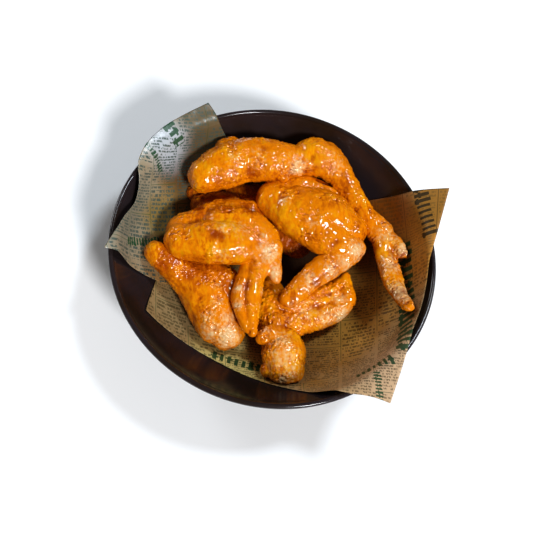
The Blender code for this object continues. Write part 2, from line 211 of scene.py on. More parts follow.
# Patches of colour on each wing: (x, y), reach and strength. Gold is glaze laid thinly and partly
# painted light, red is glaze that pools and partly painted shade, under other wings and along
# lower edges, and pale is skin with little glaze and partly a painted highlight.
PATCHES = {
    "wing_top": {
        "gold": [
            (-74, 46, 11, 0.9), (-60, 60, 12, 0.7), (2, 87, 11, 0.8), (-38, 76, 12, 0.3),
            (50, 70, 9, 0.3), (86, 40, 12, 0.7), (98, 12, 12, 0.7)],
        "red": [
            (-71, 31, 8, 0.7), (-59, 36, 9, 0.9), (-47, 45, 9, 1.0), (-35, 55, 9, 1.0),
            (-21, 61, 9, 0.8), (33, 82, 9, 0.6), (-52, 88, 9, 0.4), (62, 64, 8, 0.5),
            (20, 84, 8, 0.4), (-14, 64, 8, 0.5)],
        "pale": [
            (-6, 74, 9, 0.8), (-38, 68, 8, 0.4), (22, 92, 8, 0.4), (95, 43, 7, 0.9),
            (88, 26, 11, 0.6), (101, 2, 12, 0.9), (80, 52, 9, 0.6), (-56, 60, 7, 0.3),
            (76, 60, 8, 0.4)],
    },
    "wing_right": {
        "gold": [(-7, 36, 13, 1.0), (-14, 42, 10, 0.6), (5, 26, 9, 0.6), (28, 62, 9, 0.4)],
        "red": [
            (30, 54, 12, 0.5), (24, 24, 9, 0.5), (42, 50, 10, 0.5), (40, 20, 9, 0.5),
            (-12, 60, 8, 0.5), (24, -22, 6, 0.8), (40, -9, 4, 0.8)],
        "pale": [
            (59, 27, 8, 0.9), (54, 14, 8, 0.7), (-8, 45, 5, 0.6), (20, 33, 6, 0.4),
            (46, 4, 9, 0.6), (32, -8, 8, 0.6), (28, -30, 5, 0.5), (50, 2, 8, 0.5)],
    },
    "wing_left": {
        "gold": [
            (-58, -10, 13, 0.7), (-66, -20, 9, 0.5), (-42, -16, 12, 0.8), (-40, 2, 12, 0.9),
            (-4, -30, 6, 0.9), (2, -44, 5, 0.6)],
        "red": [
            (-65, 12, 11, 0.9), (-47, 22, 12, 1.0), (-31, 30, 10, 1.0), (-51, -15, 5, 0.6),
            (-77, -24, 8, 0.6), (-30, -20, 9, 0.3), (2, -56, 6, 0.3), (-14, -18, 3.5, 0.9),
            (-11.5, -30, 3, 0.9), (-7, -44, 3, 0.8), (-64, -30, 8, 0.4)],
        "pale": [
            (-44, 1, 7, 0.4), (-31, 7, 7, 0.4), (-5, -1, 9, 0.8), (-13, 8, 7, 0.4),
            (6, -12, 6, 0.8), (-16, -34, 3.5, 1.0), (-12, -47, 3.5, 0.9), (2, -30, 3, 0.7),
            (5, -42, 3, 0.5), (-36, -17, 5, 0.3)],
    },
    "wing_lower": {
        "gold": [
            (33, -52, 9, 0.7), (44, -28, 12, 0.8), (52, -10, 9, 0.7), (40, -74, 12, 1.0),
            (62, 6, 7, 0.5)],
        "red": [
            (20, -68, 5, 0.8), (22, -82, 6, 0.8), (36, -36, 8, 0.4), (10, -40, 12, 0.8),
            (16, -48, 6, 0.5), (42, -16, 5, 0.5)],
        "pale": [
            (66, -19, 8, 0.8), (56, -26, 8, 0.6), (34, -72, 11, 0.6), (42, -80, 8, 0.5),
            (60, -9, 7, 0.5), (38, -87, 4, 0.9), (14, -56, 5, 0.5), (28, -60, 8, 0.6),
            (40, -28, 9, 0.4), (26, -40, 6, 0.3)],
    },
    "wing_lower_left": {
        "gold": [(-44, -56, 9, 0.4), (-88, -28, 7, 0.5)],
        "red": [
            (-74, -30, 14, 1.0), (-52, -32, 14, 1.0), (-24, -28, 13, 1.0), (-38, -68, 6, 0.3),
            (-66, -38, 8, 0.5)],
        "pale": [
            (-12, -68, 9, 0.9), (-25, -70, 8, 0.7), (-16, -57, 8, 0.6), (-30, -62, 7, 0.5),
            (-28, -48, 5, 0.5), (-33, -36, 4, 0.4)],
    },
    "wing_under": {
        "gold": [],
        "red": [(-60, 40, 24, 1.0), (-30, 40, 24, 1.0), (4, 30, 24, 1.0)],
        "pale": [],
    },
}
# How rough each wing's skin is
ROUGHNESS = {"wing_top": 1.0, "wing_right": 0.85, "wing_left": 0.75, "wing_lower": 1.25,
             "wing_lower_left": 0.9, "wing_under": 0.8}
# Painted shade: how much darker and duller a wing is made for lying underneath
SHADED = {"wing_under": 0.36, "wing_lower_left": 0.12, "wing_lower": 0.05}
# Gap between a wing and what it lies on, and how far a plumped skin draws back in
SKIN_GAP = 0.15
DRAWN_IN = 0.35


# --- Settings ---

def length(name, description, default):
    """A length that the user may change."""
    return FloatProperty(name=name, description=description + " in millimetres",
                         default=default, min=0.0)


def colour(name, description, default):
    return FloatVectorProperty(name=name, description=description, default=default,
                               subtype="COLOR", size=3, min=0.0, max=1.0)


class BowlSettings(PropertyGroup):
    wall: length("Wall", "Thickness of the wall", 2.6)
    foot_radius: length("Foot radius", "Radius of the foot", 54.0)
    foot_height: length("Foot height", "Height of the foot", 3.0)
    lip_bead: length("Lip bead", "Radius of the rounded lip", 2.0)
    segments: IntProperty(name="Segments", description="Divisions round the bowl", default=192)
    glaze: colour("Glaze", "Near-black glaze", (0.024, 0.017, 0.019))


class PaperSettings(PropertyGroup):
    steps: IntProperty(name="Steps", description="Divisions along each edge", default=150)
    thickness: length("Thickness", "Thickness of the paper", 0.14)
    dry: colour("Dry paper", "Brown paper where no sauce reached it", (0.42, 0.27, 0.13))
    greased: colour("Greased paper", "Paper soaked with sauce and oil", (0.29, 0.140, 0.030))
    grey: colour("Grey paper", "The paler sheet on the left", (0.31, 0.270, 0.190))
    ink: colour("Ink", "Fine print", (0.040, 0.036, 0.014))
    grey_ink: colour("Grey ink", "Fine print of the paler sheet", (0.060, 0.085, 0.070))
    heading_ink: colour("Heading ink", "Green headings", (0.012, 0.060, 0.022))


class WingSettings(PropertyGroup):
    voxel: length("Voxel", "Size of the skin's mesh cells", 0.65)
    plumping: length("Plumping", "What smoothing takes off", 1.15)
    lumps: length("Lumps", "Height of the large lumps", 0.55)
    pimples: length("Pimples", "Height of the small bumps", 0.28)
    glaze: colour("Glaze", "Orange glaze", (0.62, 0.180, 0.001))
    # Red glaze also paints shade, and gold glaze and pale skin also paint light, where patches lay
    # them
    red_glaze: colour("Red glaze", "Glaze where it pools", (0.37, 0.078, 0.001))
    gold_glaze: colour("Gold glaze", "Thin golden glaze", (0.68, 0.275, 0.002))
    pale_skin: colour("Pale skin", "Skin with little glaze", (0.66, 0.47, 0.25))


class StageSettings(PropertyGroup):
    lens: length("Lens", "Focal length", 52.0)
    distance: length("Distance", "Camera to the heap", 600.0)
    elevation: FloatProperty(name="Elevation", description="Camera's height above level",
                             default=math.radians(64.79), subtype="ANGLE")
    roll: FloatProperty(name="Roll", description="Camera's turn about its own axis",
                        default=math.radians(19.92), subtype="ANGLE")
    floor: colour("Floor", "Plain pale floor", (0.86, 0.86, 0.86))


# --- Shared maths ---

def bezier(controls, share):
    """Cubic curve: (1-t)^3 a + 3(1-t)^2 t b + 3(1-t) t^2 c + t^3 d at shares t."""
    share = share[:, None]
    rest = 1.0 - share
    a, b, c, d = np.asarray(controls, dtype=float)
    return rest**3 * a + 3 * rest**2 * share * b + 3 * rest * share**2 * c + share**3 * d


def unit(vectors):
    """The same directions with a length of one."""
    return vectors / np.linalg.norm(vectors, axis=-1, keepdims=True)


def arc(centre, radius, start, end, count):
    """Points round a centre, c + r (cos a, sin a), between two angles in degrees."""
    turns = np.radians(np.linspace(start, end, count))
    return np.array(centre) + radius * np.stack([np.cos(turns), np.sin(turns)], axis=1)


def side_normal(path):
    """Unit normals on the left of a path: its direction turned by a quarter."""
    along = unit(np.gradient(path, axis=0))
    return np.stack([-along[:, 1], along[:, 0]], axis=1)


def grid_faces(rows, columns, wrap=False):
    """Quads between neighbouring rows and columns; wrap joins the last column to the first."""
    row, column = np.meshgrid(np.arange(rows - 1), np.arange(columns if wrap else columns - 1),
                              indexing="ij")
    following = (column + 1) % columns
    low, high = row * columns, (row + 1) * columns
    return np.stack([low + column, low + following, high + following, high + column],
                    axis=-1).reshape(-1, 4)


def tube_faces(rings, segments, flip=False):
    """Faces of a tube of closed rings, shut at its ends by the last two points, the poles."""
    here = np.arange(segments)
    following = (here + 1) % segments
    quads = grid_faces(rings, segments, wrap=True)
    if flip:
        here, following, quads = following, here, quads[:, ::-1]
    pole = np.full(segments, rings * segments)
    last = (rings - 1) * segments
    return (quads.tolist() + np.stack([pole, following, here], axis=1).tolist()
            + np.stack([pole + 1, last + here, last + following], axis=1).tolist())


def ripple(points, wavelength, seed, waves=28):
    """A random field of about unit spread: the sum of cosines of plane waves in all directions,
    cos(2 pi d.p / wavelength + phase), over the square root of half their number."""
    chance = np.random.default_rng(seed)
    direction = unit(chance.normal(size=(waves, 3)))
    direction *= chance.uniform(0.8, 1.25, waves)[:, None]
    phase = chance.uniform(0.0, TURN, waves)
    return np.cos(points @ direction.T * (TURN / wavelength) + phase).sum(1) / math.sqrt(waves / 2)


def new_piece(name, points, faces):
    """A mesh object at the origin, from points in millimetres and a list of faces."""
    mesh = bpy.data.meshes.new(name)
    mesh.from_pydata(np.asarray(points) * MM, [], faces)
    mesh.validate()
    mesh.shade_smooth()
    piece = bpy.data.objects.new(name, mesh)
    bpy.context.scene.collection.objects.link(piece)
    return piece


def read_vectors(rows, key):
    """One vector from each of a mesh's rows, as an array."""
    values = np.empty(len(rows) * 3, dtype=np.float32)
    rows.foreach_get(key, values)
    return values.reshape(-1, 3).astype(float)


def apply_modifiers(piece):
    """Replace a piece's mesh by what its modifiers make of it."""
    bpy.context.view_layer.update()
    made = bpy.data.meshes.new_from_object(
        piece.evaluated_get(bpy.context.evaluated_depsgraph_get()))
    old = piece.data
    piece.modifiers.clear()
    piece.data = made
    bpy.data.meshes.remove(old)
    made.name = piece.name
    made.shade_smooth()


# --- Materials ---

def math_node(operation, reflected=False):
    """An operator of Field that adds a Math node. A reflected one swaps the two values."""
    def operator(self, *other):
        values = (*other, self) if reflected else (self, *other)
        return self.finish.math(operation, *values)
    return operator


class Field:
    """A shader value. Arithmetic on it adds Math nodes."""

    def __init__(self, finish, socket):
        self.finish = finish
        self.socket = socket

    __add__ = __radd__ = math_node("ADD")
    __sub__ = math_node("SUBTRACT")
    __rsub__ = math_node("SUBTRACT", reflected=True)
    __mul__ = __rmul__ = math_node("MULTIPLY")
    __truediv__ = math_node("DIVIDE")
    __rtruediv__ = math_node("DIVIDE", reflected=True)
    __abs__ = math_node("ABSOLUTE")
    __gt__ = math_node("GREATER_THAN")
    __lt__ = math_node("LESS_THAN")
    highest = math_node("MAXIMUM")

    def bands(self, size):
        """Which band of that size the value is in, and its place across it from 0 to 1."""
        place = self / size
        return self.finish.math("FLOOR", place), self.finish.math("FRACT", place)

    def between(self, low, high):
        """0 below low, 1 above high, smooth between."""
        values = {"Value": self, "From Min": low, "From Max": high}
        return self.finish.node("MapRange", values, interpolation_type="SMOOTHSTEP")("Result")


class Finish:
    """The node tree of a material or world, ending in one shader."""

    def __init__(self, holder, shader="Principled BSDF"):
        holder.use_nodes = True
        self.holder = holder
        self.tree = holder.node_tree
        self.shader = self.tree.nodes[shader]

    def feed(self, socket, value):
        if isinstance(value, Field):
            self.tree.links.new(value.socket, socket)
        else:
            socket.default_value = value

    def node(self, kind, values=None, stops=(), **settings):
        """Add a node: its settings and a ramp's stops first, then its sockets' values or links.
        Call the result with an output's name or number to get that output."""
        made = self.tree.nodes.new("ShaderNode" + kind)
        for key, value in settings.items():
            setattr(made, key, value)
        for index, (place, shade) in enumerate(stops):
            if index == len(made.color_ramp.elements):
                made.color_ramp.elements.new(place)
            made.color_ramp.elements[index].position = place
            made.color_ramp.elements[index].color = (*shade, 1.0)
        for key, value in (values or {}).items():
            self.feed(made.inputs[key], value)
        return lambda output: Field(self, made.outputs[output])

    def math(self, operation, *values):
        return self.node("Math", dict(enumerate(values)), operation=operation)("Value")

    def mix(self, share, first, second):
        """Mix two colours."""
        first, second = (shade if isinstance(shade, Field) else (*shade, 1.0)
                         for shade in (first, second))
        values = {0: share, 6: first, 7: second}
        return self.node("Mix", values, data_type="RGBA")(2)

    def scaled(self, vector, factor):
        values = {0: vector, "Scale": factor}
        return self.node("VectorMath", values, operation="SCALE")("Vector")

    def place(self):
        """Object coordinates in millimetres."""
        return self.scaled(self.node("TexCoord")("Object"), 1.0 / MM)

    def distance(self, flat, x, y):
        """How far places on a flat sheet are from (x, y)."""
        values = {0: flat, 1: (x, y, 0.0)}
        return self.node("VectorMath", values, operation="DISTANCE")("Value")

    def pair(self, x, y):
        return self.node("CombineXYZ", {0: x, 1: y})("Vector")

    def chance(self, x, y):
        """A random number from 0 to 1 for each pair of values."""
        values = {"Vector": self.pair(x, y)}
        return self.node("TexWhiteNoise", values, noise_dimensions="2D")("Value")

    def noise(self, place, size, detail=2.0, roughness=0.5, dimensions="3D"):
        """Noise from 0 to 1 whose lumps are about `size` millimetres apart."""
        values = {"Vector": place, "Scale": 1.0 / size, "Detail": detail, "Roughness": roughness}
        return self.node("TexNoise", values, noise_dimensions=dimensions)("Fac")

    def cells(self, place, size):
        """Distance to the nearest of scattered points about `size` millimetres apart."""
        return self.node("TexVoronoi", {"Vector": place, "Scale": 1.0 / size})("Distance")

    def bump(self, height, depth, **below):
        """Raise the surface by `height` times `depth` millimetres."""
        values = {"Height": height, "Distance": depth * MM, **below}
        return self.node("Bump", values)("Normal")

    def finish(self, **sockets):
        """Set the shader's sockets, named with underscores for spaces."""
        for key, value in sockets.items():
            self.feed(self.shader.inputs[key.replace("_", " ")], value)
        return self.holder


def bowl_material(settings):
    """Near-black glaze with a warm tinge, faint ripples and a slightly varied gloss."""
    finish = Finish(bpy.data.materials.new("bowl glaze"))
    place = finish.place()
    cloud = finish.noise(place, 40.0, 3.0)
    speck = finish.noise(place, 1.4)
    warm = finish.mix(cloud.between(0.35, 0.7), settings.glaze, (0.020, 0.012, 0.008))
    rough = 0.10 + 0.10 * cloud + 0.06 * speck.between(0.62, 0.75)
    ripples = finish.bump(finish.noise(place, 14.0), 0.10)
    return finish.finish(Base_Color=warm, Roughness=rough, Normal=ripples,
                         Specular_IOR_Level=0.35)


# Headings on each sheet: (x, y) of the start in flat millimetres, direction in degrees, length,
# height of the strokes and spacing from one stroke to the next
HEADINGS = {
    "liner_right": [
        (107, 62, -72, 128, 19, 8.0), (104, -88, 27, 36, 12, 5.2), (124, -88, -77, 34, 7, 2.9),
        (113, 113, -61, 54, 13, 6.0), (-20, -84, 5, 40, 10, 6.0)],
    "liner_left": [
        (-148, 82, -25, 26, 13, 6.0), (-158, 52, -20, 34, 6, 2.6), (-128, -38, 40, 44, 8, 3.6),
        (-96, 60, -52, 60, 9, 4.2)],
}

# Stains, oil, grease and painted light on each sheet: (x, y) in flat millimetres, reach and colour.
# Painted shade lies on the right sheet's upper part near the wall and on the left sheet beside
# the top wing; painted light in the middle and at the corner of the right sheet, a painted
# highlight low on the right sheet, and a painted sheen on the left sheet's flap.
PAPER_STAINS_AND_PAINTED_LIGHT = {
    "liner_right": [
        (85, 85, 55, (0.20, 0.062, 0.007)), (80, -5, 46, (0.56, 0.31, 0.07)),
        (138, 50, 46, (0.43, 0.20, 0.035)), (136, 102, 36, (0.27, 0.13, 0.022)),
        (146, -84, 52, (0.55, 0.37, 0.22)), (-60, -62, 48, (0.26, 0.18, 0.085)),
        (-8, -92, 34, (0.60, 0.50, 0.19)),
    ],
    "liner_left": [
        (-149, -20, 60, (0.22, 0.19, 0.135)), (-100, 104, 55, (0.12, 0.088, 0.045)),
        (-106, 56, 36, (0.09, 0.048, 0.022)), (-134, 62, 26, (0.38, 0.40, 0.42)),
        (-100, 8, 34, (0.20, 0.135, 0.045)),
    ],
}


def turned_axes(x, y, degrees):
    """Places measured along and across a direction."""
    cos, sin = math.cos(math.radians(degrees)), math.sin(math.radians(degrees))
    return x * cos + y * sin, y * cos - x * sin


def print_lines(finish, across, down):
    """Columns of fine print: rows of short strokes in blocks of uneven height, with rules
    between some columns. Returns the strokes and the rules as masks."""
    column_width, block_height, block_shift = 31.0, 43.0, 17.0
    fine_pitch, coarser = 2.5, 1.1
    column, in_column = across.bands(column_width)
    block, in_block = (down + column * block_shift).bands(block_height)
    chance = finish.chance(column, block)
    pitch = fine_pitch + coarser * (chance > 0.6)
    row, in_row = down.bands(pitch)
    word = finish.pair(across / (pitch * 1.6), row * 7.3)
    word = finish.noise(word, 1.0, 0.0, dimensions="2D")
    stroke = finish.pair(across / (pitch * 0.52), row * 3.1 + in_row * 0.8)
    stroke = finish.noise(stroke, 1.0, 1.0, dimensions="2D")
    inside = (in_column > 0.05) * (in_column < 0.95) * (in_block > 0.06) * (in_block < 0.97)
    strokes = (inside * (in_row > 0.22) * (in_row < 0.86) * word.between(0.30, 0.36)
               * stroke.between(0.38, 0.52))
    rules = ((in_column < 0.018) * (chance > 0.35)).highest((in_block < 0.012) * (chance < 0.6))
    return strokes, rules


def heading_strokes(finish, x, y, start_x, start_y, direction, length, height, pitch):
    """One heading: a run of upright bars of uneven height and width, some joined by a short
    crossbar, so that it reads as large type without being any."""
    along, across = turned_axes(x - start_x, y - start_y, direction)
    count, in_bar = along.bands(pitch)
    chance = finish.chance(count, start_x)
    reach = height * (0.36 + 0.14 * chance)
    bar = (abs(in_bar - 0.5) < 0.22 + 0.10 * chance) * (abs(across) < reach)
    crossbar = (abs(across + height * (chance - 0.5) * 0.75) < height * 0.085) * (chance > 0.25)
    inside = (along > 0.0) * (along < length) * (abs(across) < height * 0.5)
    return inside * bar.highest(crossbar * (abs(across) < reach))


def paper_material(name, settings, turn):
    """Waxed paper printed with columns of fine strokes, rules and headings in the sheet's own
    millimetres, from its UV map. Oil darkens it towards the heap, patches add stains, painted
    shade and painted highlights, and one dark patch lies near the middle."""
    finish = Finish(bpy.data.materials.new(name + " paper"))
    pale = name == "liner_left"
    flat = finish.scaled(finish.node("UVMap", uv_map="flat")("UV"), UV_SPAN)
    split = finish.node("SeparateXYZ", {0: flat})
    x, y = split("X"), split("Y")
    strokes, rules = print_lines(finish, *turned_axes(x, y, turn))
    headings = rules * 0.8
    for heading in HEADINGS[name]:
        headings = headings.highest(heading_strokes(finish, x, y, *heading))
    place = finish.place()
    fibre = finish.noise(place, 0.9, 3.0)
    cloud = finish.noise(place, 30.0, 3.0)
    uneven = cloud - 0.5
    soak_reach, middle_dark_reach = 105.0, 52.0
    soaked = 1.55 - finish.distance(flat, 0.0, 0.0) / soak_reach + uneven * 1.3
    soaked = soaked.between(0.0, 0.75)
    base = finish.mix(soaked, settings.grey if pale else settings.dry, settings.greased)
    base = finish.mix(fibre.between(0.4, 0.8) * 0.3, base, (0.42, 0.33, 0.21))
    middle_dark = 1.0 - finish.distance(flat, 12.0, 24.0) / middle_dark_reach + uneven * 0.5
    # Stains, painted shade, painted highlights and a painted sheen from the table
    for patch_x, patch_y, patch_reach, shade in PAPER_STAINS_AND_PAINTED_LIGHT[name]:
        near = 1.25 - finish.distance(flat, patch_x, patch_y) / patch_reach + uneven * 0.8
        base = finish.mix(near.between(0.0, 1.0), base, shade)
    worn = (0.75 if pale else 0.5) + 0.3 * finish.noise(place, 7.0)
    ink, heading_ink = settings.grey_ink, settings.heading_ink
    if not pale:
        worn = worn * (1.0 - 0.45 * (y - x * 0.3).between(-30.0, 15.0))
        ink = settings.ink
        heading_ink = finish.mix(y.between(60.0, 66.0), heading_ink, (0.030, 0.020, 0.008))
    base = finish.mix(strokes * worn, base, ink)
    base = finish.mix(headings * 0.92, base, heading_ink)
    # A dark patch near the middle of the sheet
    base = finish.mix(middle_dark.between(0.0, 0.35) * 0.9, base, (0.035, 0.016, 0.012))
    rough = (0.27 if pale else 0.40) - 0.08 * soaked + 0.10 * fibre
    surface = finish.bump(fibre, 0.04)
    surface = finish.bump(finish.noise(place, 8.0, 3.0), 0.45, Normal=surface)
    return finish.finish(Base_Color=base, Roughness=rough, Normal=surface,
                         Specular_IOR_Level=0.5 if pale else 0.25)


def glaze_material(name, settings, depth):
    """Wet orange glaze over fried skin. Attributes say where it is gold, red, pale or coarse, and
    relief where it is high; streaks that run down the heap and fine flecks break them up, and
    small round pimples roughen it. Gold and pale partly paint light and highlights, and red and
    low relief partly paint shade. `depth` darkens and dulls a wing that lies beneath, as painted
    shade."""
    finish = Finish(bpy.data.materials.new(name))
    place = finish.place()
    comb = {"Vector": place, "Rotation": (0, 0, math.radians(112)), "Scale": (3, 1, 1)}
    combed = finish.node("Mapping", comb, vector_type="TEXTURE")("Vector")
    relief, coarse, gold, red, pale = (finish.node("Attribute", attribute_name=key)("Fac")
                                       for key in ("relief", "coarse", "gold", "red", "pale"))
    blotch = finish.noise(place, 15.0, 4.0, 0.6) - 0.5
    streak = finish.noise(combed, 2.4, 3.0, 0.6).between(0.32, 0.68) - 0.5
    fleck = finish.noise(place, 1.7, 1.0) - 0.5
    cell = finish.cells(place, 2.4)
    pimple = 0.5 - cell * cell
    # Gold glaze where glaze is thin, and partly painted light where gold patches lie
    bright = (gold * 0.7 + relief * 0.3 + blotch + streak * 0.7).between(0.0, 0.9)
    tone = finish.mix(bright, settings.glaze, settings.gold_glaze)
    # Red glaze where it pools, and painted shade on wings that lie beneath and where red patches
    # lie
    pooled_and_shaded = (red * 0.85 - relief * 0.4 - blotch * 0.8 - streak * 0.7 + depth).between(0.15, 1.1)
    tone = finish.mix(pooled_and_shaded, tone, settings.red_glaze)
    # Pale skin with little glaze, and partly a painted highlight, where pale patches lie
    patch = finish.noise(place, 2.6, 3.0, 0.6).between(0.32, 0.68) - 0.5
    pale_and_highlight = (pale + (streak * 0.15 + patch * 0.5) * (pale > 0.06) - 0.12).between(0.0, 0.95)
    tone = finish.mix(pale_and_highlight * 0.85, tone, settings.pale_skin)
    # Painted shade: dark red-brown in the hollows and folds that relief marks
    hollow_shade = (0.0 - relief - fleck * 0.5).between(0.35, 1.3)
    tone = finish.mix(hollow_shade * 0.8, tone, (0.24, 0.034, 0.001))
    rough = 0.05 + 0.04 * finish.noise(place, 6.0) + 0.8 * depth
    surface = finish.bump((fleck * 0.22 + pimple * 0.20) * coarse, 1.0)
    return finish.finish(Base_Color=tone, Roughness=rough, Normal=surface,
                         Specular_IOR_Level=0.42 - 0.6 * depth)


# --- Bowl ---

def turned(profile, segments):
    """Turn a profile (radius, height) round the axis: (r cos a, r sin a, h), closed at both ends
    by a pole on the axis at the profile's first and last heights."""
    angles = np.linspace(0.0, TURN, segments, endpoint=False)
    radius = profile[:, 0][:, None]
    height = np.repeat(profile[:, 1][:, None], segments, axis=1)
    rings = np.stack([radius * np.cos(angles), radius * np.sin(angles), height], axis=2)
    points = np.concatenate([rings.reshape(-1, 3), [(0, 0, profile[0, 1]), (0, 0, profile[-1, 1])]])
    return points, tube_faces(len(profile), segments)


def bowl_profile(settings):
    """Underside, foot, outer wall, a round lip and the inner wall down to the floor. The outer
    wall is the inner one moved out by the wall's thickness."""
    inner = bezier(WALL_CURVE, np.linspace(0.0, 1.0, 60))
    outer = inner - settings.wall * side_normal(inner)
    outer = outer[outer[:, 1] > settings.foot_height + 0.8]
    bead, foot = settings.lip_bead, settings.foot_radius
    lip = arc((RIM_INNER + bead, RIM_HEIGHT - bead), bead - 0.02, -25.0, 180.0, 22)
    edge = arc((foot, 1.5), 1.5, -90.0, 0.0, 6)
    return np.concatenate([[(foot * 0.5, 0.0)], edge, [(foot + 1.6, settings.foot_height - 0.4)],
                           outer[:-1], lip, inner[-2::-1], [(FLOOR_RADIUS * 0.6, FLOOR_HEIGHT)]])


class SERVING_OT_bowl(Operator):
    """Turn the dark bowl and glaze it"""
    bl_idname = "serving.bowl"
    bl_label = "Bowl"

    def execute(self, context):
        settings = context.scene.serving_bowl
        piece = new_piece("bowl_turned", *turned(bowl_profile(settings), settings.segments))
        piece.data.materials.append(bowl_material(settings))
        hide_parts("bowl")
        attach(piece, "root")
        return {"FINISHED"}


# --- Papers ---

def paper_profile():
    """The paper's run from the bowl's centre: along the floor, up the wall, over the lip and out,
    as cubic curves that share their directions where they meet."""
    floor = np.array([(0.0, FLOOR_HEIGHT), (FLOOR_RADIUS * 0.5, FLOOR_HEIGHT)])
    wall = bezier(WALL_CURVE, np.linspace(0.0, LEAVES_WALL, 60))
    heading = unit(wall[-1] - wall[-2])
    over = np.array(OVER_LIP)
    outward = np.array([0.80, 0.60])
    rise = bezier([wall[-1], wall[-1] + 9 * heading, over - 5 * outward, over],
                  np.linspace(0.0, 1.0, 30))
    flap = bezier([over, over + 8 * outward, np.array(FLAP_END) - (22.0, 3.0), FLAP_END],
                  np.linspace(0.0, 1.0, 30))
    return np.concatenate([floor, wall, rise[1:], flap[1:]])


def paper_point(distance, bearing, height):
    """World points of places on the paper: the profile at that distance, moved along its normal
    by the height plus a pleat, WAVE_HEIGHT (1 - cos(n a)) / 2, that grows up the wall."""
    profile = paper_profile()
    steps = np.linalg.norm(np.diff(profile, axis=0), axis=1)
    reach = np.concatenate([[0.0], np.cumsum(steps)])
    columns = np.hstack([profile, side_normal(profile)]).T
    radius, level, *lean = (np.interp(distance, reach, column) for column in columns)
    lean = unit(np.stack(lean, axis=-1))
    grown = np.clip((distance - 85.0) / 70.0, 0.0, 1.0)
    pleat = 0.5 - 0.5 * np.cos(WAVE_COUNT * bearing + 0.6 * np.sin(2 * bearing))
    total = height + WAVE_HEIGHT * grown**2 * pleat
    radius = radius + total * lean[..., 0]
    return np.stack([radius * np.cos(bearing), radius * np.sin(bearing),
                     level + total * lean[..., 1]], axis=-1)


def liner_flat(liner, steps):
    """A liner's grid in flat millimetres: a Coons patch, the sum of the two blends of opposite
    edges less the bilinear blend of the corners. An edge's bow is b sin(pi t) + l sin(2 pi t)."""
    reach, bearing = np.array(liner["corners"]).T
    bearing = np.radians(bearing)
    corners = np.stack([reach * np.cos(bearing), reach * np.sin(bearing)], axis=1)
    share = np.linspace(0.0, 1.0, steps)[:, None]
    edges = []
    for index, (bow, lean) in enumerate(liner["bows"]):
        start, end = corners[index], corners[(index + 1) % 4]
        inwards = unit(corners.mean(axis=0) - (start + end) / 2)
        depth = bow * np.sin(math.pi * share) + lean * np.sin(2 * math.pi * share)
        edge, middle, half, most = liner["notch"]
        if index == edge:
            depth = depth + most * np.exp(-(((share - middle) / half) ** 2))
        edges.append(start + (end - start) * share + depth * inwards)
    near, right, far, left = edges[0], edges[1], edges[2][::-1], edges[3][::-1]
    u = share[:, :, None]
    v = share.reshape(1, -1, 1)
    bilinear = ((1 - u) * (1 - v) * corners[0] + u * (1 - v) * corners[1]
                + u * v * corners[2] + (1 - u) * v * corners[3])
    return ((1 - v) * near[:, None] + v * far[:, None] + (1 - u) * left[None]
            + u * right[None] - bilinear)


def crumple(flat, distance, seed):
    """Small buckles of the paper in millimetres: ripples sharpened to creases, 1 - |n|, that are
    almost flat on the floor and deepen up the wall and beyond the lip."""
    points = np.pad(flat.reshape(-1, 2), ((0, 0), (0, 1)))
    soft = ripple(points, 60.0, seed) * 0.5
    crease = 1.0 - np.abs(ripple(points, 85.0, seed + 1))
    grown = np.clip((distance - 60.0) / 60.0, 0.05, 1.0)
    buckle = (soft + np.clip(crease, 0.0, 1.0) ** 4).reshape(distance.shape)
    return 0.45 * grown * np.clip(buckle, -0.5, 1.6)


def liner_piece(name, settings, seed):
    """One sheet: the Coons patch laid along the bowl, with crumpling, given its thickness."""
    liner = LINERS[name]
    flat = liner_flat(liner, settings.steps)
    distance = np.hypot(flat[..., 0], flat[..., 1])
    bearing = np.arctan2(flat[..., 1], flat[..., 0])
    height = liner["height"] + np.clip(crumple(flat, distance, seed), -0.1, 0.6)
    points = paper_point(distance, bearing, height).reshape(-1, 3)
    faces = grid_faces(settings.steps, settings.steps)
    piece = new_piece(name + "_sheet", points, faces.tolist())
    layer = piece.data.uv_layers.new(name="flat")
    places = flat.reshape(-1, 2)[faces.ravel()] / UV_SPAN
    layer.data.foreach_set("uv", places.astype(np.float32).ravel())
    thick = piece.modifiers.new("thickness", "SOLIDIFY")
    thick.thickness = settings.thickness * MM
    thick.offset = 0.0
    return piece, flat


class SERVING_OT_papers(Operator):
    """Lay the two printed papers in the bowl"""
    bl_idname = "serving.papers"
    bl_label = "Papers"

    def execute(self, context):
        settings = context.scene.serving_paper
        for name, seed, print_turn in (("liner_right", 11, 16.0), ("liner_left", 18, 35.0)):
            piece, flat = liner_piece(name, settings, seed)
            piece.data.materials.append(paper_material(name, settings, print_turn))
            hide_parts(name)
            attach(piece, "root")
        return {"FINISHED"}


# --- Wings ---

def smooth_path(places, step):
    """Points about `step` apart on the curve through the places: for each span the Catmull-Rom
    cubic (2b + (c-a)t + (2a-5b+4c-d)t^2 + (3b-a-3c+d)t^3) / 2."""
    places = np.asarray(places, dtype=float)
    ends = np.concatenate([[2 * places[0] - places[1]], places, [2 * places[-1] - places[-2]]])
    runs = []
    for a, b, c, d in zip(ends[:-3], ends[1:-2], ends[2:-1], ends[3:]):
        count = max(2, int(np.linalg.norm(c[:3] - b[:3]) / step))
        share = np.linspace(0.0, 1.0, count, endpoint=False)[:, None]
        runs.append(0.5 * (2 * b + (c - a) * share + (2 * a - 5 * b + 4 * c - d) * share**2
                           + (3 * b - a - 3 * c + d) * share**3))
    return np.concatenate(runs + [places[-1:]])


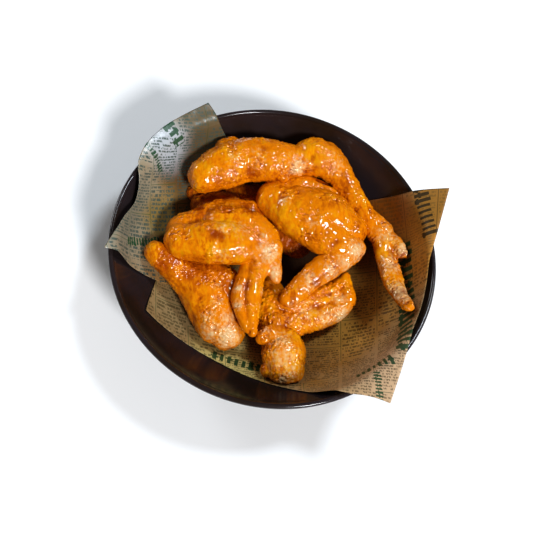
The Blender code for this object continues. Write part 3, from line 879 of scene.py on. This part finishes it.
def limb(places, thickness, segments=40, step=1.2):
    """An ellipse carried along a path: c(s) + w(s) (cos a, q sin a) across and up, with q the
    thickness over the width, and half-round ends closed by a pole each."""
    path = smooth_path(places, step)
    centre, half = path[:, :3], path[:, 3]
    along = unit(np.gradient(centre, axis=0))
    turns = np.radians(np.linspace(80.0, 10.0, 8))
    start = centre[0] - np.outer(half[0] * np.sin(turns), along[0])
    end = centre[-1] + np.outer(half[-1] * np.sin(turns[::-1]), along[-1])
    centre = np.concatenate([start, centre, end])
    half = np.concatenate([half[0] * np.cos(turns), half, half[-1] * np.cos(turns[::-1])])
    along = np.concatenate([along[:1]] * 8 + [along] + [along[-1:]] * 8)
    across = unit(np.cross(along, (0.0, 0.0, 1.0)))
    upright = np.cross(across, along)
    angles = np.linspace(0.0, TURN, segments, endpoint=False)
    ring = (np.cos(angles)[None, :, None] * across[:, None]
            + thickness * np.sin(angles)[None, :, None] * upright[:, None])
    rings = (centre[:, None] + half[:, None, None] * ring).reshape(-1, 3)
    points = np.concatenate([rings, centre[:1], centre[-1:]])
    return points, tube_faces(len(centre), segments, flip=True)


def wing_limbs(name):
    """All limbs of a wing as overlapping closed surfaces."""
    points, faces, first = [], [], 0
    for thickness, places in WINGS[name].values():
        limb_points, limb_faces = limb(places, thickness)
        points.append(limb_points)
        faces += [[corner + first for corner in face] for face in limb_faces]
        first += len(limb_points)
    return np.concatenate(points), faces


def fold_depth(points, folds):
    """How far folds press the skin in: depth exp(-(d/w)^2), d being the distance seen from above
    to the fold's line, fading towards the line's ends."""
    total = np.zeros(len(points))
    for places, width, depth in folds:
        line = smooth_path([(*place, 0.0, 0.0) for place in places], 1.5)[:, :2]
        apart = np.hypot(points[:, :1] - line[:, 0], points[:, 1:2] - line[:, 1])
        share = apart.argmin(axis=1) / (len(line) - 1)
        fade = np.sin(math.pi * np.clip(share, 0.08, 0.92)) ** 0.5
        total += depth * fade * np.exp(-((apart.min(axis=1) / width) ** 2))
    return total


def patch_strength(points, patches):
    """Strongest of the patches at each point: strength exp(-(d/reach)^2), seen from above."""
    strength = np.zeros(len(points))
    for x, y, reach, most in patches:
        apart = np.hypot(points[:, 0] - x, points[:, 1] - y)
        strength = np.maximum(strength, most * np.exp(-((apart / reach) ** 2)))
    return strength


def skin_relief(points, settings, coarse, seed):
    """Height of the skin in millimetres: broad lumps, faint wrinkles sharpened as |n|, and
    pimples that grow with `coarse`."""
    lumps = ripple(points, 24.0, seed) * 0.5 + ripple(points, 10.0, seed + 1) * 0.4
    wrinkle = 0.7 - np.abs(ripple(points, 7.5, seed + 2))
    pimples = (0.4 * ripple(points, 4.8, seed + 3) + 0.5 * ripple(points, 2.8, seed + 4)
               + 0.35 * ripple(points, 1.9, seed + 6))
    return settings.lumps * (lumps + wrinkle * 0.2) + settings.pimples * coarse * pimples


def press_out(piece, targets):
    """Move the points of a piece that lie inside its neighbours out to their surface."""
    for target in targets:
        press = piece.modifiers.new("clear of " + target.name, "SHRINKWRAP")
        press.wrap_method = "NEAREST_SURFACEPOINT"
        press.wrap_mode = "OUTSIDE"
        press.target = target
        press.offset = SKIN_GAP * MM
    apply_modifiers(piece)


def bed_guide():
    """The upper side of the papers as one surface over the whole bowl, for wings to lie on."""
    rings, segments = 90, 180
    distance = np.linspace(4.0, 175.0, rings)
    bearing = np.linspace(0.0, TURN, segments, endpoint=False)
    points = paper_point(*np.meshgrid(distance, bearing, indexing="ij"), BED_HEIGHT)
    faces = grid_faces(rings, segments, wrap=True)[:, ::-1]
    return new_piece("bed_guide", points.reshape(-1, 3), faces.tolist())


def wing_piece(name, settings, targets, seed):
    """A wing: its limbs melted into one skin, plumped, given relief and folds, then pressed
    clear of what lies under it."""
    piece = new_piece(name + "_skin", *wing_limbs(name))
    remesh = piece.modifiers.new("one skin", "REMESH")
    remesh.mode = "VOXEL"
    remesh.voxel_size = settings.voxel * MM
    smooth = piece.modifiers.new("soften", "SMOOTH")
    smooth.iterations = 14
    apply_modifiers(piece)
    mesh = piece.data
    points = read_vectors(mesh.vertices, "co") / MM
    normals = read_vectors(mesh.vertex_normals, "vector")
    facing = np.clip(2.5 * normals[:, 2] + 0.2, 0.0, 1.0)
    # Colour patches on upward-facing skin; besides glaze they paint light (gold, pale) and shade
    # (red)
    tones = {tone: patch_strength(points, patches) * facing
             for tone, patches in PATCHES[name].items()}
    coarse = (ROUGHNESS[name] * (0.7 + 0.6 * tones["pale"] + 0.4 * tones["red"]
                                 - 0.6 * tones["gold"])
              + 0.45 * ripple(points, 18.0, seed + 5))
    coarse = np.clip(coarse, 0.12, 1.7)
    relief = skin_relief(points, settings, coarse, seed)
    folds = fold_depth(points, FOLDS[name]) * facing
    lift = settings.plumping - DRAWN_IN + relief - folds
    points = (points + normals * lift[:, None]) * MM
    mesh.vertices.foreach_set("co", points.astype(np.float32).ravel())
    mesh.update()
    press_out(piece, targets)
    mesh = piece.data
    # Relief also guides the painted shade that the glaze lays in hollows and folds
    for key, values in {"relief": relief - 0.8 * folds, "coarse": coarse, **tones}.items():
        layer = mesh.attributes.new(key, "FLOAT", "POINT")
        layer.data.foreach_set("value", values.astype(np.float32))
    return piece


class SERVING_OT_wings(Operator):
    """Heap the six glazed wings on the papers"""
    bl_idname = "serving.wings"
    bl_label = "Wings"

    def execute(self, context):
        settings = context.scene.serving_wing
        bed = bed_guide()
        below = []
        for order, name in enumerate(WINGS):
            piece = wing_piece(name, settings, [bed] + below, 40 + 9 * order)
            glaze = glaze_material(name + " glaze", settings, SHADED.get(name, 0.0))
            piece.data.materials.append(glaze)
            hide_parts(name)
            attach(piece, "root")
            below.append(piece)
        bpy.data.objects.remove(bed)
        return {"FINISHED"}


# --- Stage ---

def hang(name, data, right, up, back, place):
    """An object for a camera or a light, from its axes and its place."""
    holder = bpy.data.objects.new(name, data)
    bpy.context.scene.collection.objects.link(holder)
    turn = np.eye(4)
    turn[:3] = np.stack([right, up, back, place], axis=1)
    holder.matrix_world = Matrix(turn.tolist())
    return holder


def aim_camera(settings):
    """A camera that looks along +Y and down by the elevation, turned by the roll."""
    rise, roll = settings.elevation, settings.roll
    ahead = np.array([0.0, math.cos(rise), -math.sin(rise)])
    right = np.array([1.0, 0.0, 0.0])
    up = np.cross(right, ahead)
    right, up = (math.cos(roll) * right + math.sin(roll) * up,
                 math.cos(roll) * up - math.sin(roll) * right)
    target = np.array([11.0, -25.44, RIM_HEIGHT])
    camera = bpy.data.cameras.new("camera")
    camera.lens = settings.lens
    camera.sensor_width = 36.0
    camera.clip_start = 0.01
    eye = (target - ahead * settings.distance) * MM
    bpy.context.scene.camera = hang("camera", camera, right, up, -ahead, eye)


def soft_light(name, bearing, rise, spread, strength, shade):
    """A distant soft light: its bearing and rise above level and its spread in degrees."""
    light = bpy.data.lights.new(name, "SUN")
    light.angle = math.radians(spread)
    light.energy = strength
    light.color = shade
    bearing, rise = math.radians(bearing), math.radians(rise)
    away = np.array([math.cos(bearing) * math.cos(rise), math.sin(bearing) * math.cos(rise),
                     math.sin(rise)])
    side = unit(np.cross((0.0, 0.0, 1.0), away))
    hang(name, light, side, np.cross(away, side), away, away)


def studio_world():
    """Dim warm light from above and pale walls near the horizon. The camera sees it all paler,
    and reflections see about a third of its strength."""
    finish = Finish(bpy.data.worlds.new("studio"), "Background")
    direction = finish.node("TexCoord")("Generated")
    height = finish.node("SeparateXYZ", {0: direction})("Z")
    stops = [(0.0, (0.50, 0.50, 0.50)), (0.10, (0.45, 0.45, 0.45)), (0.28, (0.17, 0.160, 0.150))]
    light = finish.node("ValToRGB", {"Fac": height}, stops)("Color")
    ray = finish.node("LightPath")
    shade = finish.mix(ray("Is Camera Ray"), light, (0.90, 0.90, 0.90))
    return finish.finish(Color=shade, Strength=1.0 - 0.65 * ray("Is Glossy Ray"))


def floor_material(settings):
    """Plain pale floor with a barely varied tone."""
    finish = Finish(bpy.data.materials.new("floor"))
    cloud = finish.noise(finish.place(), 300.0)
    shade = finish.mix(cloud, settings.floor, [0.98 * part for part in settings.floor])
    return finish.finish(Base_Color=shade, Roughness=0.9)


class SERVING_OT_stage(Operator):
    """Set the plain floor, the soft lights and the camera"""
    bl_idname = "serving.stage"
    bl_label = "Stage"

    def execute(self, context):
        settings = context.scene.serving_stage
        corners = FLOOR_HALF * np.array([(-1, -1, 0), (1, -1, 0), (1, 1, 0), (-1, 1, 0)])
        floor = new_piece("floor", corners, [(0, 1, 2, 3)])
        floor.data.materials.append(floor_material(settings))
        soft_light("window", -45.0, 40.0, 12.0, 3.0, (0.95, 0.97, 1.0))
        soft_light("skylight", 52.0, 60.0, 11.0, 1.4, (0.82, 0.91, 1.0))
        soft_light("side window", 157.0, 28.0, 14.0, 0.6, (0.90, 0.95, 1.0))
        context.scene.world = studio_world()
        context.scene.view_settings.view_transform = "Standard"
        context.scene.view_settings.look = "Medium High Contrast"
        aim_camera(settings)
        return {"FINISHED"}


# --- Add-on ---

GROUPS = {
    "serving_bowl": (BowlSettings, SERVING_OT_bowl),
    "serving_paper": (PaperSettings, SERVING_OT_papers),
    "serving_wing": (WingSettings, SERVING_OT_wings),
    "serving_stage": (StageSettings, SERVING_OT_stage),
}


class SERVING_PT_panel(Panel):
    """Settings and build buttons of the serving"""
    bl_idname = "SERVING_PT_panel"
    bl_label = "Chicken Wings Serving"
    bl_space_type = "VIEW_3D"
    bl_region_type = "UI"
    bl_category = "Serving"

    def draw(self, context):
        for name, (settings, operator) in GROUPS.items():
            box = self.layout.box()
            for key in settings.__annotations__:
                box.prop(getattr(context.scene, name), key)
            box.operator(operator.bl_idname)


def register():
    for name, (settings, operator) in GROUPS.items():
        bpy.utils.register_class(settings)
        bpy.utils.register_class(operator)
        setattr(bpy.types.Scene, name, PointerProperty(type=settings))
    bpy.utils.register_class(SERVING_PT_panel)


def unregister():
    bpy.utils.unregister_class(SERVING_PT_panel)
    for name, (settings, operator) in GROUPS.items():
        delattr(bpy.types.Scene, name)
        bpy.utils.unregister_class(operator)
        bpy.utils.unregister_class(settings)


def main():
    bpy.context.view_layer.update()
    register()
    bpy.ops.serving.bowl()
    bpy.ops.serving.papers()
    bpy.ops.serving.wings()
    bpy.ops.serving.stage()


if __name__ == "__main__":
    main()
